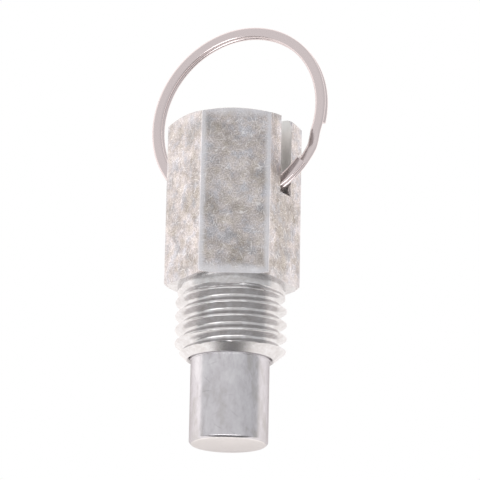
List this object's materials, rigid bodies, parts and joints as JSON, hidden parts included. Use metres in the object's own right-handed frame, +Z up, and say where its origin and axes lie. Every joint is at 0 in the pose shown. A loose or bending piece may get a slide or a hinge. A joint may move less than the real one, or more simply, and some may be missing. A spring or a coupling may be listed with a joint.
{
  "type": "spring plunger pull pin",
  "caption": "Sprung locking pin: a threaded hexagon barrel holds a round nose that a split ring in the end slot pulls back against a coil spring.",
  "frame": {"origin": "on the pin's axis, in the plane of the seat under the hexagon", "axes": "+Y along the pin's axis from the nose to the ring, +Z up, normal to the hexagon flat that faces the camera; the opposite flat lies on the table at Z = -10.5 mm"},
  "size_m": [0.0315, 0.0783, 0.021],
  "materials": {
    "zinc_plated_steel": "zinc plated, matt, finely scratched",
    "nickel_plated_steel": "ground and plated, satin",
    "spring_steel": "drawn wire, bare",
    "polished_steel": "bright nickel plated wire"
  },
  "bodies": {
    "barrel": {"barrel": "zinc_plated_steel", "return_spring": "spring_steel"},
    "plunger": {"plunger": "nickel_plated_steel"},
    "ring": {"split_ring": "polished_steel"}
  },
  "joints": [
    {"name": "pull", "type": "slide", "parent": "barrel", "child": "plunger", "axis": [0, 1, 0], "range_m": [0, 0.016], "stiffness_N_per_m": 780, "springref_m": -0.0077, "deforming": ["return_spring"]},
    {"name": "ring_swing", "type": "hinge", "parent": "plunger", "child": "ring", "pos_m": [0, 0.0158, 0], "axis": [0.8797, 0, 0.4756], "range_deg": [-3.2, 13]}
  ]
}
